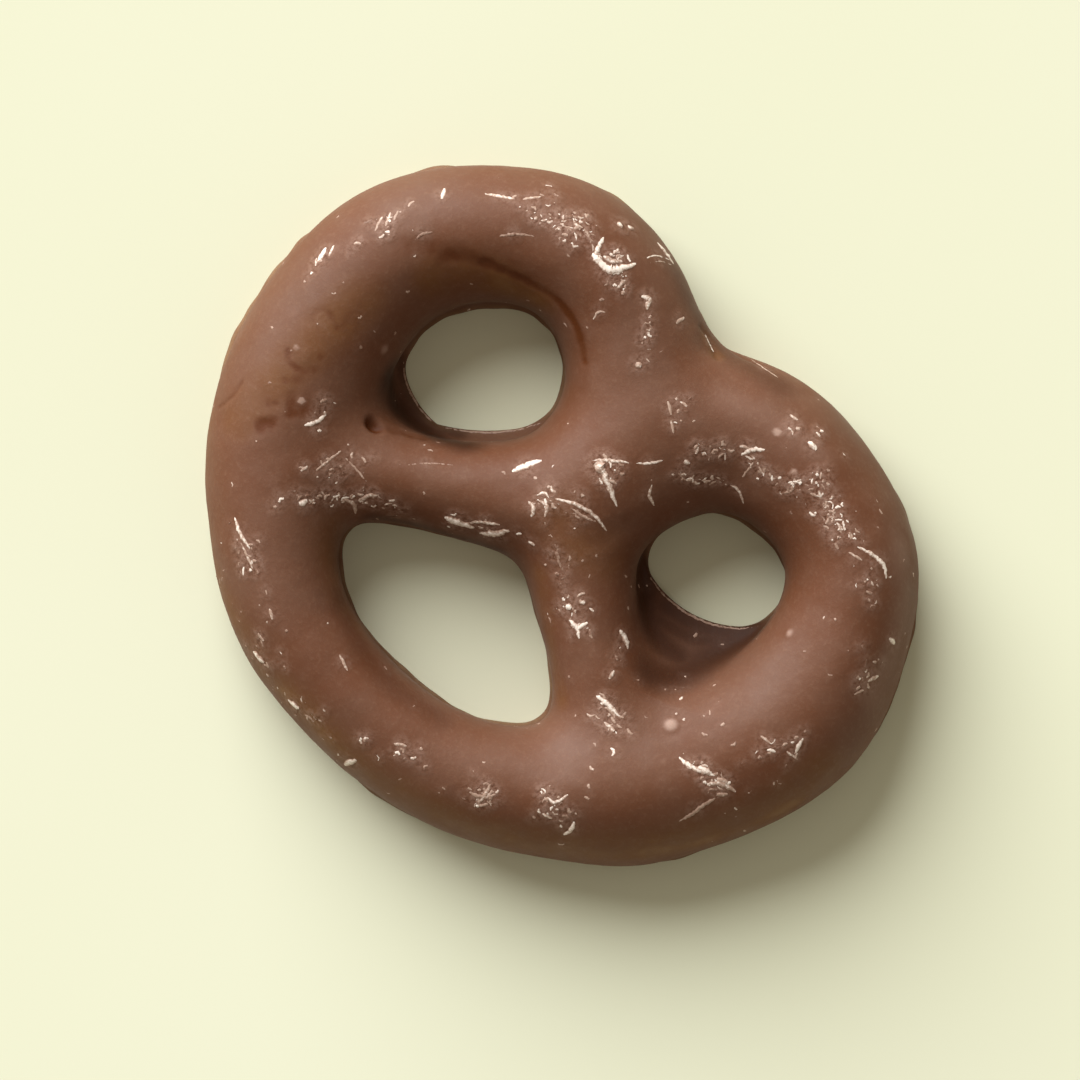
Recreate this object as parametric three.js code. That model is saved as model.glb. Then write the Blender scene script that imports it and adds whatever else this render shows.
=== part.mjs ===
// A chocolate-covered pretzel twist, lying on its flat base.
// Units are millimetres, +Z is up, and the origin is the middle of the base.
// +Y points at the notch between the two lobes, and +X at the right lobe.
//
// The pretzel is one strand. It starts in the ring as the left arm, crosses over,
// runs round the right lobe, the belly and the left lobe, and crosses back as the
// right arm. The coating rounds the strand and fills the corners where it meets
// itself, so the solid is a level surface of a field that the strand gives off.
import * as THREE from "three";

// ---- Driving dimensions ----
const PRETZEL_WIDTH = 45; // across the two lobes
const DESIGN_WIDTH = 44.9; // the width that the stations below give as they stand
const SCALE = PRETZEL_WIDTH / DESIGN_WIDTH;

// The strand's stations, in order: centreline x and y, half width, crest height.
const STRAND_STATIONS = [
  { at: "left arm's end, in the ring", x: -13.2, y: -5.4, half: 4.8, crest: 6.4 },
  { at: "left arm", x: -9.1, y: -3.5, half: 2.6, crest: 6.0 },
  { at: "crossing, over", x: -0.4, y: 3.1, half: 3.6, crest: 6.6 },
  { at: "right of the notch", x: 3.2, y: 12.7, half: 4.5, crest: 7.2 },
  { at: "right lobe's top", x: 14.1, y: 12.2, half: 3.6, crest: 7.4 },
  { at: "right lobe's side", x: 18.0, y: 2.2, half: 4.8, crest: 7.5 },
  { at: "belly, right", x: 13.0, y: -8.1, half: 3.9, crest: 7.3 },
  { at: "belly, middle", x: 4.2, y: -14.0, half: 3.4, crest: 7.0 },
  { at: "belly, left", x: -8.2, y: -13.2, half: 3.4, crest: 6.9 },
  { at: "left lobe's side", x: -16.6, y: -3.6, half: 4.6, crest: 7.2 },
  { at: "left lobe's shoulder", x: -17.6, y: 7.3, half: 4.1, crest: 7.3 },
  { at: "left lobe's top", x: -9.8, y: 13.9, half: 4.0, crest: 7.4 },
  { at: "left of the notch", x: -1.2, y: 10.2, half: 4.3, crest: 7.1 },
  { at: "crossing, under", x: 0.5, y: 2.8, half: 3.6, crest: 6.6 },
  { at: "right arm", x: 9.2, y: -4.0, half: 2.8, crest: 6.1 },
  { at: "right arm's end, in the ring", x: 14.5, y: -7.0, half: 6.2, crest: 6.2 },
];
const SAMPLES_PER_SPAN = 14;

// ---- The coating ----
const FUSING = 2.0; // higher gives tighter corners where the strand meets itself
const WAIST_HEIGHT = 2.6 * SCALE; // height at which the strand is widest
const UNDERSIDE = 4.8 * SCALE; // reach of the rounding below the waist; the base cuts it short

// The coating pooled in the right loop's low corner, and set as a web that slopes down
// into it. The web's free edge is an arc, round the part of the loop that stayed open.
const WEB_EDGE = { x: 7.8 * SCALE, y: 9.3 * SCALE, radius: 6.4 * SCALE };
const WEB_SPOT = { x: 10.3 * SCALE, y: 2.6 * SCALE, radius: 5 * SCALE }; // it stays in here
const WEB_LIP = 0.8 * SCALE; // thickness at its free edge
const WEB_RISE = 2.4 * SCALE; // rise from the lip to the strand, over its run
const WEB_RUN = 3.6 * SCALE;
const WEB_CURVE = 1.5; // above 1, it rises slowly from the lip and then faster
const WEB_BLEND = 0.2; // how softly it runs into the strand

// ---- The mesh ----
const CELL = 1.0 * SCALE;
const MARGIN = 1.6 * SCALE;
// The mesh's levels. The chocolate ends at the first, its base, and the last is clear of it.
const LEVELS = [0, 0.5, 1.4, 2.3, 3.2, 4.1, 5, 9].map((z) => z * SCALE);
const SETTLE_STEPS = 6; // steps that move each vertex on to the level surface
const SETTLE_STEP_LIMIT = 0.3 * CELL;
const SLOPE_REACH = 0.01 * CELL; // how far each way the field is read for its slope

const MILK_CHOCOLATE = new THREE.MeshStandardMaterial({
  color: new THREE.Color().setRGB(0.46, 0.31, 0.25, THREE.SRGBColorSpace),
  roughness: 0.45,
  metalness: 0,
});

// Short straight pieces of the strand, each with its middle, length, half width and crest.
function strandPieces() {
  const curveThrough = (points) =>
    new THREE.CatmullRomCurve3(points, false, "catmullrom");
  const route = curveThrough(
    STRAND_STATIONS.map((s) => new THREE.Vector3(s.x, s.y, 0).multiplyScalar(SCALE)),
  );
  const section = curveThrough(
    STRAND_STATIONS.map((s) => new THREE.Vector3(s.half, s.crest, 0).multiplyScalar(SCALE)),
  );
  const count = (STRAND_STATIONS.length - 1) * SAMPLES_PER_SPAN;
  const pieces = [];
  for (let i = 0; i < count; i++) {
    const [t0, t1] = [i / count, (i + 1) / count];
    const [start, end] = [route.getPoint(t0), route.getPoint(t1)];
    const size = section.getPoint((t0 + t1) / 2);
    pieces.push({
      x: (start.x + end.x) / 2,
      y: (start.y + end.y) / 2,
      length: start.distanceTo(end),
      half: size.x,
      crest: size.y,
    });
  }
  return pieces;
}

const PIECES = strandPieces();

// What the strand gives off at (x, y). body is 1 over a lone strand's centreline,
// 0 at its edge and negative outside, and crest is the local height of the strand.
// webTop is the web's height, and webReach how far (x, y) is inside the web's edge.
function plan(x, y) {
  let sum = 0;
  let crestSum = 0;
  for (const p of PIECES) {
    const square = ((x - p.x) ** 2 + (y - p.y) ** 2) / p.half ** 2;
    const given =
      (Math.exp(-FUSING * square) * p.length) / (p.half * Math.sqrt(Math.PI / FUSING));
    sum += given;
    crestSum += given * p.crest;
  }
  const pastEdge = Math.hypot(x - WEB_EDGE.x, y - WEB_EDGE.y) - WEB_EDGE.radius;
  const insideSpot = WEB_SPOT.radius - Math.hypot(x - WEB_SPOT.x, y - WEB_SPOT.y);
  return {
    body: 1 + Math.log(sum) / FUSING,
    crest: crestSum / sum,
    webTop: WEB_LIP + WEB_RISE * (Math.max(0, pastEdge) / WEB_RUN) ** WEB_CURVE,
    webReach: Math.min(pastEdge, insideSpot),
  };
}

// The field at height z over a place's plan: positive inside the chocolate, 0 on its
// surface. The strand's part goes down with the distance from the waist.
function fieldOver({ body, crest, webTop, webReach }, z) {
  const reach = z > WAIST_HEIGHT ? crest - WAIST_HEIGHT : UNDERSIDE;
  const strand = body - ((z - WAIST_HEIGHT) / reach) ** 2;
  const web = Math.min(webTop - z, webReach) / WAIST_HEIGHT;
  return (strand + web + Math.hypot(strand - web, WEB_BLEND)) / 2;
}

// A grid's coordinates from low to high, in steps of one cell.
function gridLines(low, high) {
  const count = Math.ceil((high - low) / CELL);
  return Array.from({ length: count + 1 }, (_, i) => low + i * CELL);
}

// Moves a point along the field's slope, in the given directions, on to the surface.
function settle(point, axes) {
  const field = ([x, y, z]) => fieldOver(plan(x, y), z);
  const shifted = (p, axis, by) => p.map((c, a) => (a === axis ? c + by : c));
  for (let step = 0; step < SETTLE_STEPS; step++) {
    const slope = [0, 0, 0];
    for (const axis of axes) {
      const ahead = field(shifted(point, axis, SLOPE_REACH));
      const behind = field(shifted(point, axis, -SLOPE_REACH));
      slope[axis] = (ahead - behind) / (2 * SLOPE_REACH);
    }
    const steepness = Math.hypot(...slope);
    const wanted = -field(point) / steepness;
    const move = THREE.MathUtils.clamp(wanted, -SETTLE_STEP_LIMIT, SETTLE_STEP_LIMIT);
    point = point.map((c, axis) => c + (move * slope[axis]) / steepness);
  }
  return point;
}

// The vertex of the cell whose low corner is the grid point ijk, if the surface passes
// through the cell: the middle of the places where it crosses the cell's edges, settled
// on the surface. The lowest layer's vertices lie on the base, those at its rim on its
// outline and the others in the middle of their cells.
function cellVertex(lines, valueAt, ijk) {
  const corners = [0, 1, 2, 3, 4, 5, 6, 7];
  const bit = (corner, axis) => (corner >> axis) & 1;
  const cornerPoint = (corner) => ijk.map((cell, axis) => lines[axis][cell + bit(corner, axis)]);
  const value = corners.map((c) => valueAt(...ijk.map((cell, axis) => cell + bit(c, axis))));
  const crossings = [];
  for (const low of corners) {
    for (const high of [low | 1, low | 2, low | 4]) {
      if (high === low || value[low] > 0 === value[high] > 0) continue;
      const share = value[low] / (value[low] - value[high]);
      const [from, to] = [cornerPoint(low), cornerPoint(high)];
      crossings.push(from.map((c, axis) => c + share * (to[axis] - c)));
    }
  }
  if (crossings.length === 0) return null;
  const middle = [0, 1, 2].map(
    (axis) => crossings.reduce((sum, c) => sum + c[axis], 0) / crossings.length,
  );
  if (ijk[2] > 0) return settle(middle, [0, 1, 2]);
  const onBase = [middle[0], middle[1], lines[2][0]];
  const atRim = value.slice(4).some((v) => v <= 0);
  return atRim ? settle(onBase, [0, 1]) : onBase;
}

// A closed mesh of the surface by surface nets: one vertex in each cell that the
// surface passes through, and one four-sided face round each grid edge it crosses.
function surfaceNet(lines) {
  const [nx, ny, nz] = lines.map((line) => line.length);
  const stride = [1, nx, nx * ny];
  const indexOf = (i, j, k) => i + j * stride[1] + k * stride[2];
  const value = new Float64Array(nx * ny * nz).fill(-1);
  for (let j = 0; j < ny; j++) {
    for (let i = 0; i < nx; i++) {
      const here = plan(lines[0][i], lines[1][j]);
      for (let k = 1; k < nz; k++) {
        value[indexOf(i, j, k)] = fieldOver(here, lines[2][k]);
      }
    }
  }

  const valueAt = (i, j, k) => value[indexOf(i, j, k)];
  const vertexOf = new Int32Array(nx * ny * nz);
  const positions = [];
  for (let k = 0; k < nz - 1; k++) {
    for (let j = 0; j < ny - 1; j++) {
      for (let i = 0; i < nx - 1; i++) {
        const vertex = cellVertex(lines, valueAt, [i, j, k]);
        if (vertex === null) continue;
        vertexOf[indexOf(i, j, k)] = positions.length / 3;
        positions.push(...vertex);
      }
    }
  }

  const triangles = [];
  for (let k = 0; k < nz - 1; k++) {
    for (let j = 1; j < ny - 1; j++) {
      for (let i = 1; i < nx - 1; i++) {
        const at = indexOf(i, j, k);
        for (let axis = 0; axis < 3; axis++) {
          const inside = value[at] > 0;
          if (inside === value[at + stride[axis]] > 0) continue;
          const u = stride[(axis + 1) % 3];
          const v = stride[(axis + 2) % 3];
          const ring = [at, at - u, at - u - v, at - v].map((cell) => vertexOf[cell]);
          triangles.push(...splitQuad(inside ? ring : ring.reverse(), positions));
        }
      }
    }
  }
  const geometry = new THREE.BufferGeometry()
    .setAttribute("position", new THREE.Float32BufferAttribute(positions, 3))
    .setIndex(triangles);
  geometry.computeVertexNormals();
  return geometry;
}

// Two triangles for a four-sided face, split along its shorter diagonal.
function splitQuad([a, b, c, d], positions) {
  const span = (m, n) =>
    Math.hypot(...[0, 1, 2].map((axis) => positions[3 * m + axis] - positions[3 * n + axis]));
  return span(a, c) < span(b, d) ? [a, b, c, a, c, d] : [a, b, d, b, c, d];
}

// The pretzel: the coated strand, cut flat where it set on a level surface.
function pretzelGeometry() {
  const reach = (key) => STRAND_STATIONS.map((s) => s[key] * SCALE);
  const widest = Math.max(...reach("half")) + MARGIN;
  const linesAcross = (key) =>
    gridLines(Math.min(...reach(key)) - widest, Math.max(...reach(key)) + widest);
  return surfaceNet([linesAcross("x"), linesAcross("y"), LEVELS]);
}

const pretzel = new THREE.Mesh(pretzelGeometry(), MILK_CHOCOLATE);
pretzel.name = "pretzel";

const group = new THREE.Group();
group.add(pretzel);
export default group;
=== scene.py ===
"""The looks of a chocolate-covered pretzel twist, lying on its flat base.

The frame is the model's: +Z up from the base, +Y towards the notch between the two lobes, +X
towards the right lobe. The coating is the model's own surface, a level surface of the field
that the strand gives off, meshed finely and given the relief that the model leaves out:
lumps, dents, flow lines and the thin foot of the coating. Its colour has stains, and also
painted shade where shadow falls, painted highlights, and painted warm bounce light on flanks
that face away from the window. Pale slivers, where rubbing has raised the chocolate, lie on it
as real pieces; a few of them, along the sheets' lips and at some edges and spots, are painted
highlights.

Lengths are in the design's millimetres, in which the pretzel is DESIGN_WIDTH wide, and are
turned into metres as a mesh is made. The floor, the window, the camera's clipping and the
depths in the materials are given in metres.
"""
import math
from collections import namedtuple

import bpy
import numpy as np
from mathutils import Matrix, Vector
from mathutils.bvhtree import BVHTree
from mathutils.kdtree import KDTree


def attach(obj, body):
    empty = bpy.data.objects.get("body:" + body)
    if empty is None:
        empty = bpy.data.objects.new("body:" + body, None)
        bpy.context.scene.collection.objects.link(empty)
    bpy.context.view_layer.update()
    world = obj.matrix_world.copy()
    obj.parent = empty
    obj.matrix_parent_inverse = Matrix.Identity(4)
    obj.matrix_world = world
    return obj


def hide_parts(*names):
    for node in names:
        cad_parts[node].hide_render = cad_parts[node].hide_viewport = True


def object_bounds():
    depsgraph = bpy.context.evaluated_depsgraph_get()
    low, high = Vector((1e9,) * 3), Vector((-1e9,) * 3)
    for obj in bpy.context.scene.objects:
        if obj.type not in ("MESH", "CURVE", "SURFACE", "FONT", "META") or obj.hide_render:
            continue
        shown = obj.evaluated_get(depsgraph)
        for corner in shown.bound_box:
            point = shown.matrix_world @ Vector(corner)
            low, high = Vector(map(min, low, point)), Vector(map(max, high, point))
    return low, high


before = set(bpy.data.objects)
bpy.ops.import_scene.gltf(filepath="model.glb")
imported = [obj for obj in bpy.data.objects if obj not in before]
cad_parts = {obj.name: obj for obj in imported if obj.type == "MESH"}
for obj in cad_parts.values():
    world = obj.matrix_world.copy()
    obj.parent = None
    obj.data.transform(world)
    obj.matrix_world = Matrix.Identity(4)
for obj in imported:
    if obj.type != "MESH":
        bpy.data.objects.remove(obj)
CAD_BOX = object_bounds()
RANDOM = np.random.default_rng(44)

# ---- The strand, as in the model ----
DESIGN_WIDTH = 44.9
UNIT = (CAD_BOX[1].x - CAD_BOX[0].x) / DESIGN_WIDTH  # one millimetre of the design, in metres
STRAND_STATIONS = np.array([  # centreline x and y, half width, crest height
    (-13.2, -5.4, 4.8, 6.4),  # left arm's end, in the ring
    (-9.1, -3.5, 2.6, 6.0),  # left arm
    (-0.4, 3.1, 3.6, 6.6),  # crossing, over
    (3.2, 12.7, 4.5, 7.2),  # right of the notch
    (14.1, 12.2, 3.6, 7.4),  # right lobe's top
    (18.0, 2.2, 4.8, 7.5),  # right lobe's side
    (13.0, -8.1, 3.9, 7.3),  # belly, right
    (4.2, -14.0, 3.4, 7.0),  # belly, middle
    (-8.2, -13.2, 3.4, 6.9),  # belly, left
    (-16.6, -3.6, 4.6, 7.2),  # left lobe's side
    (-17.6, 7.3, 4.1, 7.3),  # left lobe's shoulder
    (-9.8, 13.9, 4.0, 7.4),  # left lobe's top
    (-1.2, 10.2, 4.3, 7.1),  # left of the notch
    (0.5, 2.8, 3.6, 6.6),  # crossing, under
    (9.2, -4.0, 2.8, 6.1),  # right arm
    (14.5, -7.0, 6.2, 6.2),  # right arm's end, in the ring
])
SAMPLES_PER_SPAN = 14
FUSING = 2.0  # the lower, the more widely neighbouring strands run into each other
WAIST_HEIGHT = 2.6  # height at which the strand is widest
UNDERSIDE = 4.8  # how far below its waist the strand would end without its flat base

# ---- Where the coating ran out past the strand and set ----
# A sheet lies inside a round spot and outside the circles of its free edge. Its top starts at
# its lip's height and rises by so much over a run, up to a most. The further it is from its
# free edge, the more widely it blends into the strand.
Circle = namedtuple("Circle", "x y radius")
Sheet = namedtuple("Sheet", "edges spot lip rise run most")
SHEETS = {
    "web in the right loop": Sheet(
        [Circle(7.8, 9.3, 6.4)], Circle(10.3, 2.6, 5.0), 0.8, 2.4, 3.6, 5.2),
    "ledge in the left loop": Sheet(
        [Circle(-9.6, 6.3, 5.6), Circle(-15.0, 11.1, 11.9)],
        Circle(-9.0, 2.6, 6.0), 0.5, 0.8, 1.5, 1.3),
}
SHEET_CURVE = 1.5  # power of the rise, of the foot's too
SHEET_BLEND = 0.4  # in the field's value, at the lip and for the foot
SHEET_SPREAD = 1.4  # the blend's growth, at most
LIP_ROUNDING = 0.16
# The foot goes all round the base. Its edge is where the strand's body has this value.
FOOT_EDGE = -0.05
FOOT_WANDER = [(7.0, 0.06), (1.7, 0.015)]  # wavelength, and spread in the body's value
FOOT_MM_PER_BODY = 2.0  # the length that a step of 1 in the body's value counts as
FOOT_LIP = 0.26
FOOT_RISE = 0.9
FOOT_RUN = 0.65
THIN_UP_TO = 0.27  # height up to which the coating is thin and pale
THICK_FROM = 0.72  # height from which it isn't
THIN_ON_BASE = 0.2  # how pale the base is, as a share of the foot's rim
# A pale line, a painted highlight on the lip, lies along each sheet's edge, where the
# strand's body is below this value.
LIP_LINE_BODY = 0.1
LIP_LINE_TURN = 1.7  # radians each way from the side that faces the sheet's spot
LIP_LINE_WIDTH = 0.2
LIP_LINE_TONE = 0.3

# ---- The fine mesh ----
CELL = 0.2
MARGIN = 1.8  # of the grid round the strand
TOP = 8.6  # of the grid
FIRST_LEVEL = 0.3 * CELL  # the grid's level next to the base
SETTLE_STEPS = 3
SLOPE_REACH = 0.002  # length over which the field's slope is taken
SHARP_EDGE = math.radians(50)

# ---- The coating's relief: wavelength and spread ----
RELIEF = [(9.0, 0.05), (3.4, 0.013), (1.1, 0.003)]
RELIEF_FULL_AT = 1.6  # height from which it has its full depth
WAVES = 26  # plane waves in each layer of it
WAVE_SPREAD = (0.75, 1.4)  # their wavelengths, as shares of the layer's

# ---- The photograph, whose pixels say where the marks are ----
PHOTO_ORIGIN = np.array([540.4, 646.5])  # the pixel over the frame's origin
PHOTO_PIXEL = 0.16  # millimetres that it spans
IMAGE_RIGHT = math.radians(44)  # the direction in the frame that is to its right
CAMERA_DISTANCE = 450
SENSOR_WIDTH = 36
WIDTH_IN_VIEW = 0.70  # share of the picture that the pretzel's width takes up

# Dents and bumps: the pixel of their middle, how far they reach from it, how deep they are (a
# bump is below 0), and how much darker the coating is there (paler is below 0). The spots, rings,
# patches and the reddish and squarish dents are stained; in the hole, the hollow and the dimples
# the darkening is painted shade, and the paler colour of the bubbles and of the pale spot in the
# upper ring is a painted highlight.
DENTS = {
    # Painted shade in the hole.
    "hole in the left loop's low corner": ((479.3, 603.8), 0.8, 0.45, 1.0),
    "paler inside of the upper ring": ((453.5, 577.5), 0.6, -0.03, -0.12),
    "dark spot on the upper ring": ((458.8, 578.8), 0.45, 0.0, 0.75),
    "brown shade under it": ((451, 586), 0.8, 0.0, 0.6),
    "small brown spot": ((445.8, 587), 0.42, 0.02, 0.7),
    # A painted highlight on the bump.
    "pale spot in the upper ring": ((449.8, 575), 0.34, -0.03, -0.7),
    "small ring's middle": ((452, 596.5), 0.95, 0.04, 0.45),
    # A painted highlight on the bubble.
    "bubble in the small ring": ((451.8, 594.8), 0.34, -0.06, -2.2),
    "first of two small spots": ((439.5, 596), 0.42, 0.02, 0.75),
    "second of two small spots": ((442.5, 595.5), 0.36, 0.02, 0.6),
    "squarish dent, left": ((436.5, 603.3), 0.62, 0.05, 1.0),
    "squarish dent, middle": ((438.7, 603), 0.5, 0.04, 0.5),
    "squarish dent, right": ((441, 602.5), 0.55, 0.04, 0.8),
    "squarish dent, low left": ((436.8, 606), 0.5, 0.04, 0.75),
    "squarish dent, low right": ((440.5, 605), 0.5, 0.03, 0.5),
    "golden brown patch": ((470, 563), 1.6, 0.0, 0.35),
    "reddish dent on the left lobe": ((498, 537), 1.3, 0.08, 0.5),
    "reddish shade left of it": ((489, 537), 1.1, 0.02, 0.45),
    # Painted shade in the dimple.
    "dimple at the flow line's start": ((506, 543), 1.7, 0.05, 0.2),
    # These five bubbles are raised, and their paler colour is a painted highlight.
    "bubble on the belly": ((589, 715), 0.66, -0.12, -1.0),
    "small bubble on the right side": ((633, 681), 0.45, -0.05, -0.7),
    "small bubble by the left loop": ((483, 576), 0.6, -0.06, -0.6),
    "small bubble on the right lobe": ((628.5, 606.5), 0.32, -0.04, -1.0),
    "smaller bubble below it": ((634.5, 621), 0.3, -0.035, -0.9),
    # Painted shade in the dimple.
    "dimple in the notch": ((602, 575), 1.3, 0.1, 0.15),
    "lump on the right lobe": ((642, 616), 3.4, -0.12, 0.0),
    # Painted shade in this hollow and in the dimple after it.
    "hollow under the right lobe's scuffs": ((612, 622), 2.4, 0.12, 0.25),
    "dimple left of the crossing": ((533, 627), 1.8, 0.08, 0.3),
    "dimple on the right lobe": ((660, 640), 1.6, 0.06, 0.0),
    "dimple on the belly": ((540, 727), 2.6, 0.07, 0.0),
    "dimple on the left lobe's top": ((540, 532), 2.2, 0.06, 0.0),
    "lump by the notch": ((566, 552), 2.6, -0.1, 0.0),
    "lump on the right side": ((655, 690), 3.0, -0.1, 0.0),
}
# Flow lines, creases and stripes: a path, their reach, depth, and how much darker they make the
# coating (paler is below 0). The flow lines, rings, hairlines and smudge are stained; in the
# creases and folds the darkening is painted shade, and the pale stretches on the right are
# painted highlights.
GROOVE_SAMPLES = 8  # points in each span of a path
GROOVES = {
    "flow line above the left loop": (
        [(520, 544), (529, 547.5), (538, 552), (546, 557), (551, 563), (555, 570), (557, 580)],
        0.52, 0.06, 0.8),
    "flow line's faint start": ([(506, 541), (513, 542), (521, 544)], 0.7, 0.04, 0.5),
    "smudge above the flow line": ([(504, 539), (516, 539), (527, 543), (536, 548)], 1.1, 0, 0.3),
    "flow line's thick end": ([(549, 559), (553, 564), (556, 570)], 0.75, 0.0, 0.45),
    "upper brown ring, left": ([(447, 576), (447, 580), (450, 582.5)], 0.36, 0.03, 0.75),
    "upper brown ring, bottom": ([(453, 583), (457, 583.5)], 0.42, 0.02, 0.5),
    "small ring's left side": ([(447.5, 600), (447.5, 596), (448.5, 592)], 0.5, 0.03, 0.65),
    "small ring's low side": ([(450, 599.5), (456, 599)], 0.5, 0.02, 0.4),
    "faint ring above": (
        [(465, 568), (463, 563), (459, 561), (456, 564), (458, 567)], 0.3, 0.02, 0.45),
    "faint line beside the squarish dent": ([(443, 601), (449, 600), (456, 603)], 0.3, 0.0, 0.3),
    # Painted shade in the crease.
    "crease along the left arm's root": ([(477, 603), (486, 606), (497, 609)], 0.5, 0.1, 0.5),
    "hairline in the notch": ([(600, 568), (604, 573), (606, 579)], 0.35, 0.1, 0.4),
    "hairline on the left edge": ([(422, 597), (427, 593), (430, 588)], 0.26, 0.05, 0.6),
    # These two pale stretches are painted highlights.
    "pale right edge": ([(674, 650), (675, 668), (672, 686), (664, 704)], 2.4, 0.0, -0.3),
    "pale top of the right lobe": ([(608, 594), (622, 600), (635, 607), (646, 616)], 2.2, 0, -0.28),
    # These three: painted shade in a crease and in two folds.
    "crease below the notch": ([(606, 571), (613, 577), (622, 581)], 0.4, 0.08, 0.3),
    "fold where the arms cross": ([(548, 640), (560, 646), (573, 641)], 1.2, 0.07, 0.15),
    "fold left of the crossing": ([(541, 608), (549, 602), (556, 594)], 1.4, 0.06, 0.1),
}

# Golden brown stretches, partly the warmer colour of thin coating low on the flanks and partly
# painted warm bounce light on flanks that face away from the window: a path, their reach, and how
# golden they are, up to tan.
PATCH_SAMPLES = 5  # points in each span of a path
TINTS = {
    "belly's lower edge": (
        [(447, 705), (474, 731), (508, 751), (545, 760), (583, 759), (617, 749), (645, 731)], 2.3, 1.0),
    "tan band along it": (
        [(560, 762), (583, 762), (603, 758), (622, 751), (634, 744)], 1.7, 1.25),
    "tan band, left": ([(446, 704), (456, 714), (466, 724), (482, 737)], 1.8, 1.2),
    "left loop's inner side": (
        [(503, 549), (514, 547), (526, 551), (537, 556)], 2.2, 1.2),
    "left side": ([(430, 600), (441, 588), (453, 576), (464, 566), (474, 558)], 2.2, 0.8),
    "left edge": ([(414, 600), (414, 630), (422, 664), (436, 694)], 2.0, 0.8),
    "middle loop's left side": ([(462, 643), (463, 660), (472, 676)], 2.2, 0.6),
    "crossing": ([(548, 640), (556, 648), (566, 652)], 2.4, 0.6),
    "right arm's left side": ([(540, 660), (545, 690), (548, 705)], 1.2, 0.6),
    "in the notch": ([(602, 571), (606, 577)], 0.9, 1.4),
}

# Painted shade: darker stretches where shadow falls, on the web and the ledge, in the corner beside
# the ledge, on the flanks in the middle loop and beside and below the notch: a path, their reach
# and how dark they are.
PAINTED_SHADES = {
    "corner beside the ledge": ([(484, 586), (485, 594), (490, 601), (500, 608), (512, 611)], 1.9, 1.0),
    "ledge": ([(488, 580), (492, 592), (499, 602), (510, 607)], 1.0, 0.75),
    "web beside the arm": ([(578, 655), (579, 670), (584, 683), (592, 690)], 1.8, 0.9),
    "web along its lip": ([(588, 672), (598, 678), (610, 680), (620, 676)], 1.5, 0.85),
    "web's middle": ([(585, 677), (595, 682), (605, 684), (614, 681)], 1.4, 0.8),
    "web": ([(582, 697), (592, 697), (602, 692), (611, 686), (618, 680)], 2.3, 0.92),
    "ring's flank in the middle loop": ([(466, 670), (474, 688), (487, 702), (502, 712)], 1.6, 0.35),
    "arm's flank in the middle loop": ([(478, 638), (492, 641), (508, 645), (525, 650)], 1.0, 0.6),
    "beside the notch": ([(591, 548), (596, 558), (602, 569), (607, 575)], 1.6, 0.4),
    "below the notch": ([(606, 575), (613, 579), (622, 584), (629, 588)], 1.8, 0.5),
}
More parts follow.
